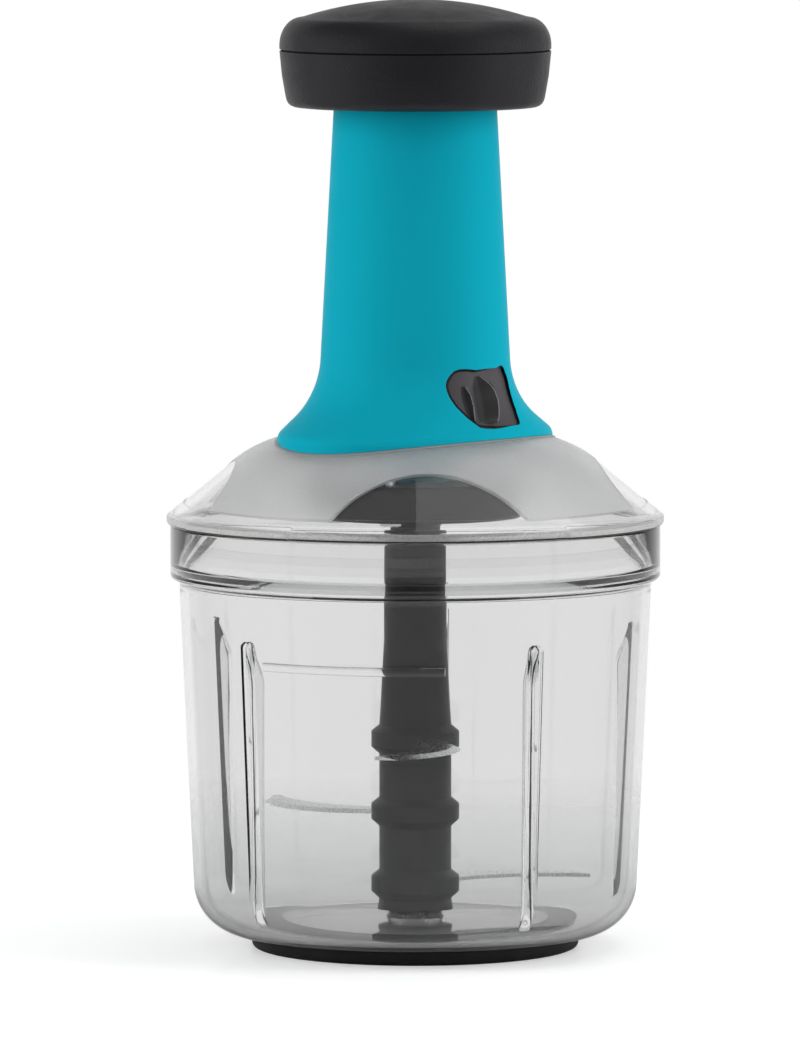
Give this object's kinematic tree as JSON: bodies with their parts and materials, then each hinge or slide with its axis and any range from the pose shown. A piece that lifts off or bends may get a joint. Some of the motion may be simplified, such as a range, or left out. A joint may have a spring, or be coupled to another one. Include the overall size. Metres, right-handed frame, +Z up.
{
  "type": "plunger food chopper",
  "caption": "Hand food chopper: a clear round bowl with sickle blades on a pin, a domed frosted lid, a column and a knob that is pressed to spin the blades.",
  "frame": {"origin": "middle of the underside of the anti-slip ring, on the surface that the chopper stands on", "axes": "+Z up along the column, -Y towards the front window of the lid"},
  "size_m": [0.1366, 0.1366, 0.2605],
  "materials": {
    "clear_plastic": "clear polished",
    "frosted_plastic": "frosted, with clear windows",
    "teal_plastic": "satin",
    "black_plastic": "satin",
    "grained_plastic": "fine grain",
    "bearing_plastic": "smooth",
    "clear_silicone": "soft, milky",
    "rubber": "matte",
    "blade_steel": "brushed, ground edge",
    "polished_steel": "bright"
  },
  "bodies": {
    "bowl_body": {"anti_slip_ring": "rubber", "bowl": "clear_plastic", "pivot_pin": "polished_steel"},
    "blade_unit": {"blade_shaft": "black_plastic", "lower_blade": "blade_steel", "middle_blade": "blade_steel", "upper_blade": "blade_steel"},
    "lid_body": {"lid": "frosted_plastic", "lid_seal": "clear_silicone", "housing_cover": "black_plastic", "drive_housing": "black_plastic", "bearing_bush": "bearing_plastic", "spindle_sleeve": "teal_plastic", "fixing_screws": "polished_steel", "column_gasket": "clear_silicone", "column": "teal_plastic", "guide_bush": "bearing_plastic", "bumper_ring": "rubber", "return_spring": "polished_steel"},
    "drive_line": {"drive_coupler": "black_plastic", "spindle": "polished_steel", "thrust_washer": "polished_steel"},
    "plunger": {"plunger_tube": "black_plastic", "drive_nut": "bearing_plastic", "clutch_ring": "black_plastic", "knob_base": "black_plastic", "tube_screws": "polished_steel", "knob_cap": "grained_plastic"},
    "lock": {"lock_slider": "black_plastic", "lock_latch": "black_plastic"}
  },
  "joints": [
    {"name": "plunger_slide", "type": "slide", "parent": "lid_body", "child": "plunger", "axis": [0, 0, 1], "range_m": [0, 0.058], "deforming": ["return_spring"]},
    {"name": "lid_lift", "type": "slide", "parent": "bowl_body", "child": "lid_body", "axis": [0, 0, 1], "range_m": [0, 0.16]},
    {"name": "blade_spin", "type": "hinge", "parent": "bowl_body", "child": "blade_unit", "pos_m": [0, 0, 0.01], "axis": [0, 0, 1], "continuous": true},
    {"name": "spindle_spin", "type": "hinge", "parent": "lid_body", "child": "drive_line", "pos_m": [0, 0, 0.125], "axis": [0, 0, 1], "continuous": true},
    {"name": "lock_turn", "type": "hinge", "parent": "lid_body", "child": "lock", "pos_m": [0, 0, 0.15], "axis": [0, 0, 1], "range_deg": [0, 10]}
  ],
  "couplings": [
    {"joint": "spindle_spin", "follows": "plunger_slide", "rad_per_m": 157.08},
    {"joint": "blade_spin", "follows": "plunger_slide", "rad_per_m": 157.08}
  ]
}
